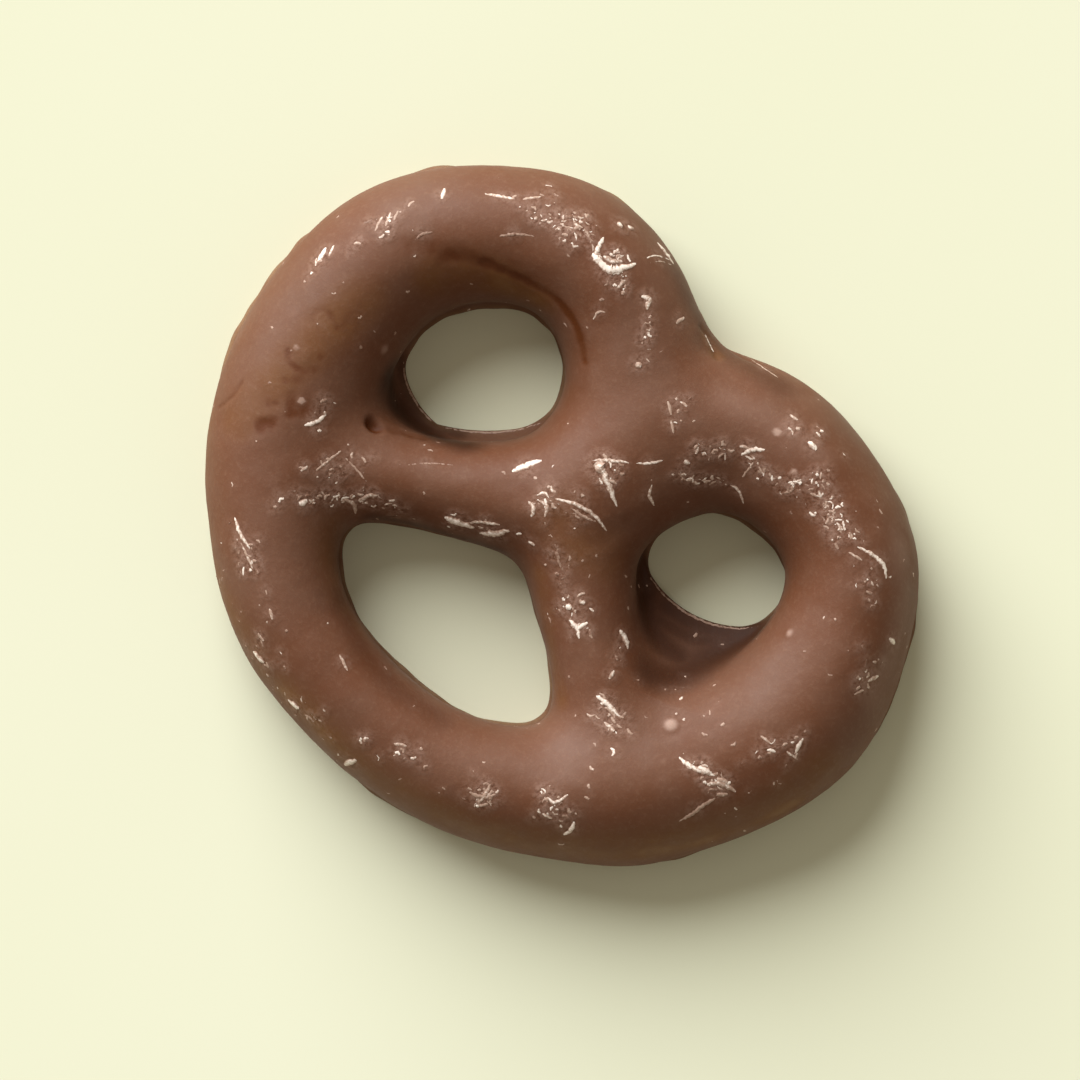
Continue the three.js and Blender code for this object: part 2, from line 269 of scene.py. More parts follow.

# Scratches: a path, their width, and their tone, from 0, light brown, to 1, cream white. Some
# of these pale lines are painted highlights, as marked.
SCRATCHES = {
    "left lobe, first dash": ([(520, 518), (526, 519), (531, 520)], 0.29, 0.7),
    "left lobe, second dash": ([(534, 520), (541, 519)], 0.26, 0.5),
    "left lobe, upright": ([(505, 516), (504, 520)], 0.31, 0.8),
    "left lobe, low line": ([(524, 534), (531, 533), (540, 534)], 0.21, 0.1),
    "left shoulder, bright": ([(461, 538), (458, 543)], 0.44, 1.0),
    "left shoulder, beside it": ([(464, 537), (462, 541)], 0.23, 0.7),
    "left shoulder, first of three": ([(482, 526), (479, 532)], 0.23, 0.5),
    "left shoulder, second of three": ([(485, 525), (483, 530)], 0.26, 0.6),
    "left shoulder, third of three": ([(488, 524), (486, 528)], 0.21, 0.4),
    "left side, stroke": ([(453, 604), (457, 603), (461, 600)], 0.36, 0.9),
    "notch, upright": ([(564, 534), (562, 538), (561, 541)], 0.36, 0.9),
    "notch, crescent": ([(560, 540), (562, 543), (566, 546), (570, 546), (576, 544)], 0.62, 1.0),
    "notch, crescent's underside": ([(563, 545), (567, 547), (571, 547)], 0.4, 0.9),
    "notch, inside the crescent": ([(564, 541), (567, 543), (571, 543)], 0.4, 0.6),
    # The three lines along the lobe's edge are painted highlights.
    "lobe's edge, upper line": ([(579, 542), (584, 541), (590, 543)], 0.16, 0.8),
    "lobe's edge, lower line": ([(580, 544), (585, 543), (591, 545)], 0.13, 0.6),
    "lobe's edge, tip": ([(584, 536), (587, 540), (590, 544)], 0.48, 1.0),
    "below the crescent, stroke": ([(569, 553), (572, 550)], 0.26, 0.6),
    "left of the trail": ([(560, 565), (562, 562), (565, 562)], 0.21, 0.5),
    "below the trail, dot": ([(576, 581), (578, 582)], 0.42, 0.5),
    "above the crescent, first dot": ([(569, 529), (571, 530)], 0.46, 0.8),
    "above the crescent, second dot": ([(573, 530), (575, 531)], 0.38, 0.6),
    "trail, hook": ([(578, 556), (581, 557), (580, 561)], 0.39, 0.8),
    "right of the trail": ([(591, 566), (594, 564)], 0.31, 0.6),
    "in the notch, light": ([(601, 569), (603, 573), (605, 577)], 0.21, 0.8),
    "below the notch, rim": ([(618, 579), (624, 583), (630, 587)], 0.18, 0.5),
    # A painted highlight.
    "right lobe, oval": ([(640, 610), (643, 613)], 0.44, 0.9),
    "right lobe, small oval": ([(633, 600), (636, 602)], 0.29, 0.5),
    "right lobe, curved dash": ([(615, 615), (619, 613), (624, 613)], 0.36, 0.9),
    "right lobe, hanging": ([(611, 626), (614, 628), (616, 633)], 0.26, 0.7),
    "right lobe, slanting": ([(614, 625), (618, 620), (620, 617)], 0.18, 0.4),
    "right lobe, long curve": ([(658, 649), (664, 652), (668, 656), (669, 661)], 0.34, 0.8),
    "right lobe, beside the curve": ([(655, 651), (660, 654)], 0.21, 0.5),
    "crossing, top of the T": ([(559, 617), (567, 617), (574, 618)], 0.26, 0.7),
    "crossing, right of the T": ([(576, 618), (581, 618), (586, 617)], 0.23, 0.8),
    "crossing, stem of the T": ([(562, 618), (565, 624), (569, 634)], 0.44, 0.8),
    "crossing, patch of the T": ([(561, 618), (564, 621)], 0.78, 0.7),
    "crossing, hook": ([(582, 626), (581, 630), (583, 634)], 0.26, 0.7),
    "crossing, long scratch": ([(545, 631), (553, 633), (560, 637), (566, 644)], 0.29, 0.7),
    "crossing, its shadow": ([(551, 634), (557, 638), (562, 640)], 0.21, 0.4),
    "crossing, left curl": ([(536, 632), (538, 635), (537, 638)], 0.31, 0.7),
    "crossing, right curl": ([(540, 632), (543, 634), (542, 638)], 0.29, 0.6),
    "crossing, dash by the curls": ([(539, 630), (542, 629), (544, 631)], 0.23, 0.7),
    "right lobe's foot, first": ([(588, 595), (589, 600)], 0.26, 0.5),
    "right lobe's foot, second": ([(589, 602), (590, 607)], 0.23, 0.5),
    "right lobe's foot, dot": ([(594, 617), (596, 618)], 0.42, 0.7),
    # A painted highlight on the arm.
    "left arm, brightest streak": ([(530, 621), (535, 619), (541, 617)], 0.55, 1.0),
    "left arm, sheen line": ([(489, 619), (499, 618), (512, 619)], 0.16, 0.05),
    "left arm, lower flake": ([(505, 638), (510, 640), (516, 642)], 0.62, 1.0),
    "left arm, second flake": ([(518, 644), (523, 644), (529, 643)], 0.58, 0.9),
    "left arm, thin flake": ([(514, 640), (520, 640), (526, 641)], 0.3, 0.7),
    "left arm's root, slanting": ([(456, 622), (462, 617), (467, 613)], 0.21, 0.5),
    "left arm's root, crossing it": ([(467, 615), (472, 620), (477, 626)], 0.18, 0.4),
    "left arm's root, first fork": ([(467, 631), (471, 633), (472, 637)], 0.31, 0.6),
    "left arm's root, second fork": ([(473, 632), (477, 630), (480, 630)], 0.36, 0.7),
    "left arm's root, bright end": ([(451, 633), (454, 632)], 0.44, 0.9),
    "left side, long stroke": ([(427, 638), (429, 644), (433, 650)], 0.31, 0.8),
    "left side, beside it": ([(429, 647), (432, 653), (434, 658)], 0.21, 0.5),
    "left side, small upright": ([(440, 672), (441, 676)], 0.26, 0.6),
    "ring, upright": ([(466, 689), (469, 695)], 0.26, 0.5),
    "ring, left dash": ([(434, 688), (438, 692)], 0.52, 0.8),
    "ring, low left dash": ([(447, 706), (451, 709)], 0.5, 0.9),
    "ring, slanting dot": ([(468, 730), (472, 728)], 0.5, 0.9),
    "ring, upper dash": ([(486, 722), (491, 723)], 0.26, 0.5),
    "belly, first of the cross": ([(514, 740), (519, 742), (524, 741)], 0.31, 0.45),
    "belly, second of the cross": ([(517, 745), (520, 741), (522, 737)], 0.31, 0.5),
    "belly, left curl": ([(543, 742), (546, 744), (551, 741)], 0.29, 0.8),
    "belly, low curl": ([(549, 756), (552, 754), (553, 751)], 0.34, 0.9),
    "belly, small curl": ([(541, 748), (545, 750)], 0.23, 0.6),
    "right arm, left dot": ([(550, 671), (552, 672)], 0.44, 1.0),
    "right arm, right dot": ([(555, 669), (557, 670)], 0.34, 0.8),
    "right arm, first of the cross": ([(551, 676), (554, 679), (555, 683)], 0.34, 1.0),
    "right arm, second of the cross": ([(554, 680), (558, 677)], 0.31, 0.9),
    "right arm, smear": ([(547, 648), (547, 653), (549, 658)], 0.26, 0.1),
    "right arm, stroke": ([(570, 680), (572, 683), (573, 687)], 0.5, 0.9),
    "right arm, small stroke": ([(566, 698), (568, 695)], 0.29, 0.6),
    "right arm's root, slanting": ([(561, 704), (565, 707), (570, 712)], 0.39, 0.9),
    "right arm's root, below it": ([(564, 714), (568, 717)], 0.26, 0.6),
    "belly, long stroke": ([(592, 727), (597, 731), (606, 734)], 0.36, 0.9),
    "belly, its head": ([(599, 731), (604, 733)], 0.5, 0.9),
    "belly, flake": ([(603, 737), (608, 737), (613, 740)], 0.44, 0.55),
    "belly, flake's upper side": ([(606, 735), (611, 737)], 0.36, 0.5),
    "belly, flake's lower side": ([(606, 741), (610, 741)], 0.34, 0.45),
    "belly, tail": ([(606, 742), (601, 745), (597, 748), (592, 751)], 0.34, 0.35),
    "belly's right, first": ([(638, 720), (635, 726)], 0.31, 0.8),
    "belly's right, second": ([(632, 725), (636, 728)], 0.23, 0.6),
    "belly's right, third": ([(622, 719), (626, 722)], 0.23, 0.5),
    "right side, dash": ([(662, 699), (666, 697)], 0.31, 0.7),
    "right side, low dash": ([(657, 704), (661, 702)], 0.21, 0.5),
    # A painted highlight in the reddish dent.
    "left lobe, in the reddish dent": ([(494, 535), (497, 533), (501, 532)], 0.24, 0.0),
    "right side, dot": ([(670, 683), (672, 685)], 0.4, 0.95),
}

# Clusters of small slivers: the pixel of the middle, the pixels along and across the long side,
# its direction in degrees up from the photograph's right, how many there are, and their tone.
CLUSTERS = {
    "left lobe's top, dusty": ((547, 527), 26, 12, -30, 52, 0.45),
    "left lobe's top, fine": ((556, 532), 12, 8, -30, 17, 0.6),
    "inside the crescent": ((568, 543), 14, 8, -10, 21, 0.7),
    "below the crescent": ((569, 552), 12, 6, 0, 8, 0.5),
    "trail below the crescent": ((580, 567), 28, 5, 95, 13, 0.5),
    "left shoulder": ((480, 531), 26, 9, 30, 14, 0.4),
    "far left shoulder": ((459, 542), 9, 6, 50, 7, 0.6),
    "left side": ((457, 598), 16, 12, 60, 5, 0.3),
    "left arm's root, dusty line": ((466, 631), 32, 5, 0, 53, 0.55),
    "left arm's root, above the line": ((466, 621), 24, 10, 10, 17, 0.35),
    "left arm, end of the line": ((486, 635), 14, 5, -20, 13, 0.4),
    "left arm's lower edge": ((518, 642), 28, 5, -12, 22, 0.5),
    "crossing": ((548, 634), 26, 12, -25, 20, 0.4),
    "crossing, the T": ((566, 623), 16, 14, -60, 20, 0.5),
    "right lobe's foot": ((591, 600), 18, 8, 80, 5, 0.4),
    "right lobe, upper band": ((604, 613), 16, 7, -5, 21, 0.5),
    "right lobe, lower band": ((600, 624), 18, 4, -14, 26, 0.7),
    "right lobe, between the bands": ((622, 620), 15, 6, -55, 20, 0.5),
    "right lobe, before the curls": ((634, 626), 13, 7, 0, 22, 0.5),
    "right lobe, curly": ((648, 634), 27, 9, -72, 66, 0.6),
    "right lobe, end of the curls": ((655, 644), 16, 8, -40, 14, 0.5),
    "right lobe's side": ((662, 664), 16, 10, -70, 10, 0.3),
    "right lobe, above the curls": ((640, 606), 24, 14, -40, 7, 0.5),
    "left side, strokes": ((431, 651), 24, 9, -65, 17, 0.4),
    "ring's left": ((438, 690), 24, 12, -60, 13, 0.45),
    "ring's low left": ((456, 711), 26, 10, -45, 10, 0.4),
    "right arm, first dots": ((552, 675), 14, 12, 80, 16, 0.5),
    "right arm, smear": ((548, 658), 20, 7, -80, 12, 0.2),
    "right arm, right side": ((571, 686), 16, 6, 80, 4, 0.35),
    "right arm's root": ((567, 712), 18, 12, -50, 22, 0.45),
    "belly, the cross": ((519, 742), 14, 11, 0, 27, 0.4),
    "belly, the curls": ((547, 748), 18, 12, -70, 29, 0.5),
    "belly, the long stroke": ((603, 735), 24, 9, -30, 17, 0.5),
    "belly's right": ((633, 722), 22, 12, 20, 17, 0.45),
    "right side": ((662, 697), 18, 14, 40, 10, 0.4),
    "belly's left": ((486, 724), 22, 12, -35, 10, 0.4),
}
CLUSTER_SPREAD = 0.28  # of the slivers' places, as a share of the cluster's size
CLUSTER_TURN_SPREAD = 0.8  # radians, round the long side's direction
CLUSTER_LENGTH = (0.18, 0.7)
CLUSTER_SHORTENED = (0.4, 1)  # the share of that length that a sliver keeps
CLUSTER_WIDTH = (0.11, 0.27)
CLUSTER_TONE_SPREAD = 0.28

# Slivers that lie anywhere on the top, where the surface faces up, and on the sides, where it
# doesn't. Half of those on the sides are in clusters.
LOOSE_ON_TOP = 120
LOOSE_ON_SIDES = 170
TOP_FACING = 0.75  # least upward part of the surface's direction
SIDE_FACING = 0.7  # most upward part of it
SIDE_FROM = 0.8  # least height
SIDE_CLUSTERS = 16
SIDE_CLUSTER_SPREAD = 1.1
LOOSE_LENGTH = (0.1, 0.4)
LOOSE_WIDTH = (0.1, 0.24)
LOOSE_TONE = (0, 0.7)
LOOSE_RUB = 0.25  # how much the coating is rubbed round them, as a share

# Every sliver: rings of points along its path, rounded on top and blunt at both ends.
SLIVER_STEP = 0.13  # length between its rings
SLIVER_SIDES = np.radians([0, 50, 90, 130, 180, 270])
SLIVER_BLUNTNESS = 0.5  # power of the sine that its width follows
SLIVER_WIDTH_SPREAD = (0.8, 1.15)
SLIVER_SHIFT = 0.25  # of a ring to the side, in half widths, at most
SLIVER_HEIGHT = 0.38  # in half widths
SLIVER_HEIGHT_SPREAD = (0.7, 1.3)
SLIVER_BEND = 1.4  # of a short one, at most
SLIVER_SUNK = 0.02
SLIVER_TONE_SPREAD = 0.15
SLIVER_FOOT_TONE = -0.35  # tone where it leaves the coating
SCUFF_REACH = 0.45  # how far round a sliver the coating is rubbed dull
SCUFF_LEAST = 0.25  # how much the narrowest sliver rubs it, with its width added
SCUFF_RATE = 2  # how fast rubbed places that overlap add up

# ---- The base ----
PINHOLES = 70
PINHOLE_REACH = (0.3, 0.65)
PINHOLE_DEPTH = 0.22  # share of its reach

# ---- Floor and light, in metres and watts ----
# A broad, low window beyond the photograph's upper left, and a weak fill from all round.
FLOOR_SIDE = 8.0
WINDOW_TURN = math.radians(119)  # from the photograph's right
WINDOW_RISE = math.radians(26)
WINDOW_DISTANCE = 3.5
WINDOW_SIZE = 3.8
WINDOW_POWER = 296
FILL_STRENGTH = 0.33

# ---- Colours, linear ----
WARM_BROWN = (0.133, 0.0445, 0.0165, 1)
GREY_BROWN = (0.149, 0.067, 0.0376, 1)
GOLDEN_BROWN = (0.156, 0.058, 0.012, 1)
GOLDEN_TAN = (0.250, 0.130, 0.050, 1)
PALE_BROWN = (0.218, 0.111, 0.066, 1)
STAIN_AND_PAINTED_SHADE_BROWN = (0.097, 0.023, 0.0015, 1)
DARK_BROWN = (0.046, 0.012, 0.002, 1)
RIM_TAN = (0.250, 0.150, 0.075, 1)
SCUFF_AND_HIGHLIGHT_PALE = (0.42, 0.28, 0.22, 1)
BROWN_SLIVER = (0.17, 0.075, 0.042, 1)
TAN_SLIVER = (0.42, 0.28, 0.21, 1)
CREAM_SLIVER = (0.85, 0.75, 0.66, 1)
FLOOR_CREAM = (0.785, 0.81, 0.61, 1)
FILL_COLOR = (1.0, 0.88, 0.72, 1)


# ---- The strand's field ----
def curve_through(points, samples):
    """Points along an open uniform Catmull-Rom curve through the given ones."""
    ends = 2 * points[[0, -1]] - points[[1, -2]]
    p = np.vstack([ends[:1], points, ends[1:]])
    t = (np.arange(samples) / samples)[:, None]
    spans = []
    for p0, p1, p2, p3 in zip(p, p[1:], p[2:], p[3:]):
        leave, arrive = (p2 - p0) / 2, (p3 - p1) / 2
        square = -3 * p1 + 3 * p2 - 2 * leave - arrive
        cube = 2 * p1 - 2 * p2 + leave + arrive
        spans.append(p1 + leave * t + square * t**2 + cube * t**3)
    return np.vstack(spans + [points[-1:]])


LINE = curve_through(STRAND_STATIONS, SAMPLES_PER_SPAN)
PIECES = (LINE[1:] + LINE[:-1]) / 2
PIECE_LENGTH = np.hypot(*np.diff(LINE[:, :2], axis=0).T)


def soft_min(a, b, blend):
    """The smaller of a and b, and a little less where they are close."""
    return (a + b - np.hypot(a - b, blend)) / 2


def soft_max(a, b, blend):
    """The larger of a and b, and a little more where they are less than blend apart."""
    near = np.maximum(0, 1 - abs(a - b) / blend)
    return np.maximum(a, b) + blend * near**2 / 4


def waves(wavelength):
    """A smooth random function of places, with a spread of 1: a sum of plane waves."""
    aim = RANDOM.normal(size=(WAVES, 3))
    aim /= np.linalg.norm(aim, axis=1)[:, None]
    rate = 2 * math.pi / (wavelength * RANDOM.uniform(*WAVE_SPREAD, WAVES))
    phase = RANDOM.uniform(0, 2 * math.pi, WAVES)
    return lambda p: np.cos(p @ (aim * rate[:, None]).T + phase).sum(1) * math.sqrt(2 / WAVES)


def beyond(circle, x, y):
    """How far outside a circle the point (x, y) is."""
    return np.hypot(x - circle.x, y - circle.y) - circle.radius


FOOT_WAVES = [(waves(wavelength), spread) for wavelength, spread in FOOT_WANDER]


def plan(x, y):
    """The strand at (x, y): its body, 1 over its centreline and 0 at its edge, and its
    crest; and for each sheet and the foot its top, how far inside its edge this is, and how
    widely it blends."""
    dx = x[:, None] - PIECES[:, 0]
    dy = y[:, None] - PIECES[:, 1]
    half = PIECES[:, 2]
    given = np.exp(-FUSING * (dx**2 + dy**2) / half**2) * PIECE_LENGTH / half
    total = given.sum(1)
    body = 1 + np.log(total * math.sqrt(FUSING / math.pi)) / FUSING
    crest = (given * PIECES[:, 3]).sum(1) / total
    layers = []
    for sheet in SHEETS.values():
        past_edge = np.max([beyond(edge, x, y) for edge in sheet.edges], 0)
        share = np.maximum(0, past_edge) / sheet.run
        top = np.minimum(sheet.lip + sheet.rise * share**SHEET_CURVE, sheet.most)
        inside = np.minimum(past_edge, -beyond(sheet.spot, x, y))
        layers.append((top, inside, SHEET_BLEND * (1 + np.minimum(share, SHEET_SPREAD))))
    places = np.stack([x, y, np.zeros_like(x)], 1)
    edge = FOOT_EDGE + sum(spread * wave(places) for wave, spread in FOOT_WAVES)
    inside = (body - edge) * FOOT_MM_PER_BODY
    top = FOOT_LIP + FOOT_RISE * (np.maximum(0, inside) / FOOT_RUN) ** SHEET_CURVE
    layers.append((np.minimum(top, FOOT_LIP + FOOT_RISE), inside, np.full_like(x, SHEET_BLEND)))
    return body, crest, layers


def over(ground, z):
    """The field at height z over a place's plan: above 0 inside the chocolate."""
    body, crest, layers = ground
    reach = np.where(z > WAIST_HEIGHT, crest - WAIST_HEIGHT, UNDERSIDE)
    value = body - ((z - WAIST_HEIGHT) / reach) ** 2
    for top, inside, blend in layers:
        layer = soft_min(top - z, inside, LIP_ROUNDING) / WAIST_HEIGHT
        value = soft_max(value, layer, blend)
    return value


def field_and_slope(points):
    """The field at the points, and its slope along each axis."""
    x, y, z = points.T
    here = plan(x, y)
    value = over(here, z)
    step = SLOPE_REACH
    slope = np.stack([
        over(plan(x + step, y), z) - value,
        over(plan(x, y + step), z) - value,
        over(here, z + step) - value,
    ], 1) / step
    return value, slope


# ---- The mesh of the surface ----
def settle(points, flat):
    """Moves points on to the surface, those marked flat without leaving their height."""
    for _ in range(SETTLE_STEPS):
        value, slope = field_and_slope(points)
        slope[flat, 2] = 0
        steep = np.linalg.norm(slope, axis=1)
        move = np.clip(-value / steep, -0.5 * CELL, 0.5 * CELL)
        points = points + slope * (move / steep)[:, None]
    return points


def grid_field():
    """The lines of a grid round the pretzel, and the field at its points."""
    reach = PIECES[:, 2].max() + MARGIN
    low = PIECES[:, :2].min(0) - reach
    high = PIECES[:, :2].max(0) + reach
    lines = [np.arange(low[a], high[a], CELL) for a in (0, 1)]
    lines.append(np.concatenate([[0, FIRST_LEVEL], np.arange(CELL, TOP, CELL)]))
    gx, gy = np.meshgrid(lines[0], lines[1], indexing="ij")
    body, crest, layers = plan(gx.ravel(), gy.ravel())
    columns = body[:, None], crest[:, None], [[a[:, None] for a in layer] for layer in layers]
    value = over(columns, lines[2][None, :]).reshape(*gx.shape, -1)
    value[:, :, 0] = -1  # the chocolate ends at its base
    return lines, value


def shifted(cells, shift):
    """The slices that pick each cell's corner at a shift of 0 or 1 along each axis."""
    return tuple(slice(s, s + n) for s, n in zip(shift, cells))


def crossing_middles(lines, value, cells):
    """The middle of the places where the surface crosses each cell's edges, and how many."""
    total = np.zeros(cells + (3,))
    count = np.zeros(cells)
    column = lambda numbers, axis: numbers.reshape([-1 if a == axis else 1 for a in range(3)])
    for axis in range(3):
        for corner in ((0, 0), (0, 1), (1, 0), (1, 1)):
            shift = list(corner)
            shift.insert(axis, 0)
            near = shifted(cells, shift)
            shift[axis] = 1
            v0, v1 = value[near], value[shifted(cells, shift)]
            crossed = (v0 > 0) != (v1 > 0)
            along = np.where(crossed, v0 / np.where(crossed, v0 - v1, 1), 0)
            count += crossed
            for a in range(3):
                place = column(lines[a][near[a]], a)
                if a == axis:
                    place = place + along * column(np.diff(lines[a]), a)
                total[..., a] += np.where(crossed, place, 0)
    return total, count


def surface_net():
    """Vertices and four-sided faces of the surface, one vertex in each cell it crosses."""
    lines, value = grid_field()
    cells = tuple(n - 1 for n in value.shape)
    total, count = crossing_middles(lines, value, cells)
    used = count > 0
    index = np.full(cells, -1)
    index[used] = np.arange(used.sum())
    points = total[used] / count[used][:, None]

    column_x, column_y, layer = np.nonzero(used)
    flat = layer == 0
    points[flat, 2] = 0
    outside = value[:, :, 1] <= 0
    rim = outside[:-1, :-1] | outside[1:, :-1] | outside[:-1, 1:] | outside[1:, 1:]
    inner = flat & ~rim[column_x, column_y]
    settled = settle(points, flat)
    settled[inner] = points[inner]

    faces = []
    for axis in range(3):
        back_u = np.eye(3, dtype=int)[(axis + 1) % 3]
        back_v = np.eye(3, dtype=int)[(axis + 2) % 3]
        near = [slice(1, n) for n in cells]
        near[axis] = slice(0, cells[axis])
        far = list(near)
        far[axis] = slice(1, cells[axis] + 1)
        v0, v1 = value[tuple(near)] > 0, value[tuple(far)] > 0
        for leaving, order in ((v0 & ~v1, 1), (v1 & ~v0, -1)):
            at = np.argwhere(leaving) + back_u + back_v
            ring = [at, at - back_u, at - back_u - back_v, at - back_v][::order]
            faces.append(np.stack([index[tuple(corner.T)] for corner in ring], 1))
    return settled, np.vstack(faces)


# ---- The coating's relief ----
def from_photo(pixels):
    """Where the pixels of the photograph are on the plane of the base."""
    across, down = (np.array(pixels, float) - PHOTO_ORIGIN).T * PHOTO_PIXEL
    cos, sin = math.cos(IMAGE_RIGHT), math.sin(IMAGE_RIGHT)
    return np.stack([across * cos + down * sin, across * sin - down * cos], 1)


def drape(surface, places):
    """The points of a surface that the camera sees at places on the base's plane."""
    eye = Vector((0, 0, CAMERA_DISTANCE))
    found = []
    for x, y in places:
        point = surface.ray_cast(eye, Vector((x, y, 0)) - eye)[0]
        found.append(point or surface.find_nearest(Vector((x, y, WAIST_HEIGHT)))[0])
    return np.array(found)


def nearness(tree, size, places, reach):
    """For each of a tree's points, how near it is to any of the places: from 1 to 0."""
    near = np.zeros(size)
    for place in places:
        for _, index, distance in tree.find_range(place, reach):
            near[index] = max(near[index], (1 - (distance / reach) ** 2) ** 2)
    return near


def tree_of(points):
    """The points in a tree that finds those near a place."""
    tree = KDTree(len(points))
    for index, point in enumerate(points):
        tree.insert(point, index)
    tree.balance()
    return tree


def outward(points):
    """The surface's outward direction at the points."""
    slope = -field_and_slope(points)[1]
    return slope / np.linalg.norm(slope, axis=1)[:, None]


def relieved(points, faces):
    """The points with the coating's relief, and how stained, golden and dark each is: the stains
    include painted shade and painted highlights, the gold is partly painted warm bounce light,
    and the dark is painted shade.
    """
    base = points[:, 2] == 0
    normals = outward(points)
    depth = np.zeros(len(points))
    stain_and_painted_light = np.zeros(len(points))
    gold = np.zeros(len(points))
    dark = np.zeros(len(points))
    surface = BVHTree.FromPolygons(points.tolist(), faces.tolist())
    tree = tree_of(points)
    near_to = lambda places, reach: nearness(tree, len(points), drape(surface, places), reach)

    for pixel, reach, deep, stained in DENTS.values():
        near = near_to(from_photo([pixel]), reach)
        depth += deep * near
        stain_and_painted_light += stained * near
    for path, reach, deep, stained in GROOVES.values():
        near = near_to(curve_through(from_photo(path), GROOVE_SAMPLES), reach)
        depth += deep * near
        stain_and_painted_light += stained * near
    for path, reach, golden in TINTS.values():
        near = near_to(curve_through(from_photo(path), PATCH_SAMPLES), reach)
        gold = np.maximum(gold, golden * near)
    # The painted shade.
    for path, reach, shaded in PAINTED_SHADES.values():
        near = near_to(curve_through(from_photo(path), PATCH_SAMPLES), reach)
        dark = np.maximum(dark, shaded * near)
    for wavelength, spread in RELIEF:
        depth += spread * waves(wavelength)(points)
    depth *= np.clip(points[:, 2] / RELIEF_FULL_AT, 0, 1)

    # Pinholes in the base, where air stayed under the coating.
    at_base = np.flatnonzero(base)
    for start in RANDOM.choice(at_base, PINHOLES, replace=False):
        reach = RANDOM.uniform(*PINHOLE_REACH)
        near = nearness(tree, len(points), [points[start]], reach) * base
        depth += PINHOLE_DEPTH * reach * near
    moved = points - normals * (depth * ~base)[:, None]
    moved[base, 2] = np.maximum(0, depth[base])
    moved[:, 2] = np.maximum(0, moved[:, 2])
    return moved, {"stain_and_painted_light": stain_and_painted_light, "gold": gold, "dark": dark}


# ---- Pale slivers ----
class Slivers:
    """Closed slivers of chocolate that lie on the coating, for one joined mesh."""

    def __init__(self, surface):
        self.surface = surface
        self.points = []
        self.faces = []
        self.tones = []
        self.places = []

    def add(self, path, width, tone, rubbed=1.0):
        """A sliver along a path near the surface: rounded rings, blunt at both ends."""
        count = len(path)
        found = [self.surface.find_nearest(Vector(point)) for point in path]
        feet = np.array([point for point, _, _, _ in found])
        normals = np.array([normal for _, normal, _, _ in found])
        along = np.gradient(feet, axis=0)
        across = np.cross(normals, along)
        across /= np.maximum(np.linalg.norm(across, axis=1), 1e-9)[:, None]
        share = (np.arange(count) + 0.5) / count
        half = width / 2 * np.sin(math.pi * share) ** SLIVER_BLUNTNESS
        half = (half * RANDOM.uniform(*SLIVER_WIDTH_SPREAD, count))[:, None]
        feet += across * half * RANDOM.uniform(-SLIVER_SHIFT, SLIVER_SHIFT, (count, 1))
        sunk = feet - normals * SLIVER_SUNK
        high = SLIVER_HEIGHT * RANDOM.uniform(*SLIVER_HEIGHT_SPREAD, (count, 1))
        rings = np.stack([
            sunk + half * (across * math.cos(turn) + normals * high * math.sin(turn))
            for turn in SLIVER_SIDES
        ], 1)
        rings[:, :, 2] = np.maximum(0, rings[:, :, 2])
        start = len(self.points)
        sides = len(SLIVER_SIDES)
        self.points.extend(rings.reshape(-1, 3))
        for ring in range(count - 1):
            for side in range(sides):
                a = start + sides * ring + side
                b = start + sides * ring + (side + 1) % sides
                self.faces.append((a, b, b + sides, a + sides))
        last = start + sides * (count - 1)
        self.faces.append(tuple(range(start + sides - 1, start - 1, -1)))
        self.faces.append(tuple(range(last, last + sides)))
        ridge = np.maximum(0, np.sin(SLIVER_SIDES))
        tones = tone + RANDOM.uniform(-SLIVER_TONE_SPREAD, SLIVER_TONE_SPREAD, (count, 1))
        self.tones.extend((tones * ridge + SLIVER_FOOT_TONE * (1 - ridge)).ravel())
        self.places.append((feet[count // 2], width, rubbed))

    def add_short(self, point, aim, length, width, tone, rubbed=1.0):
        """A sliver from a point on the surface, a little curved."""
        count = max(3, round(length / SLIVER_STEP))
        t = np.linspace(-0.5, 0.5, count)[:, None]
        bend = np.cross(aim, (0, 0, 1)) * RANDOM.uniform(-SLIVER_BEND, SLIVER_BEND)
        self.add(point + aim * length * t + bend * length * t**2, width, tone, rubbed)


def add_lip_lines(slivers):
    """A thin pale line along the free edge of each sheet: a painted highlight on its lip."""
    for sheet in SHEETS.values():
        for edge in sheet.edges:
            middle = math.atan2(sheet.spot.y - edge.y, sheet.spot.x - edge.x)
            step = SLIVER_STEP / edge.radius
            turn = middle + np.arange(-LIP_LINE_TURN, LIP_LINE_TURN, step)
            x = edge.x + (edge.radius + LIP_LINE_WIDTH / 2) * np.cos(turn)
            y = edge.y + (edge.radius + LIP_LINE_WIDTH / 2) * np.sin(turn)
            shown = (beyond(sheet.spot, x, y) < 0) & (plan(x, y)[0] < LIP_LINE_BODY)
            for other in sheet.edges:
                shown &= (other == edge) | (beyond(other, x, y) < LIP_LINE_WIDTH)
            path = np.stack([x, y, np.full_like(x, sheet.lip)], 1)[shown]
            slivers.add(path, LIP_LINE_WIDTH, LIP_LINE_TONE, 0)


def add_scratches(slivers):
    for path, width, tone in SCRATCHES.values():
        places = from_photo(path)
        length = np.linalg.norm(np.diff(places, axis=0), axis=1).sum()
        per_span = max(2, round(length / SLIVER_STEP / (len(places) - 1)))
        slivers.add(drape(slivers.surface, curve_through(places, per_span)), width, tone)


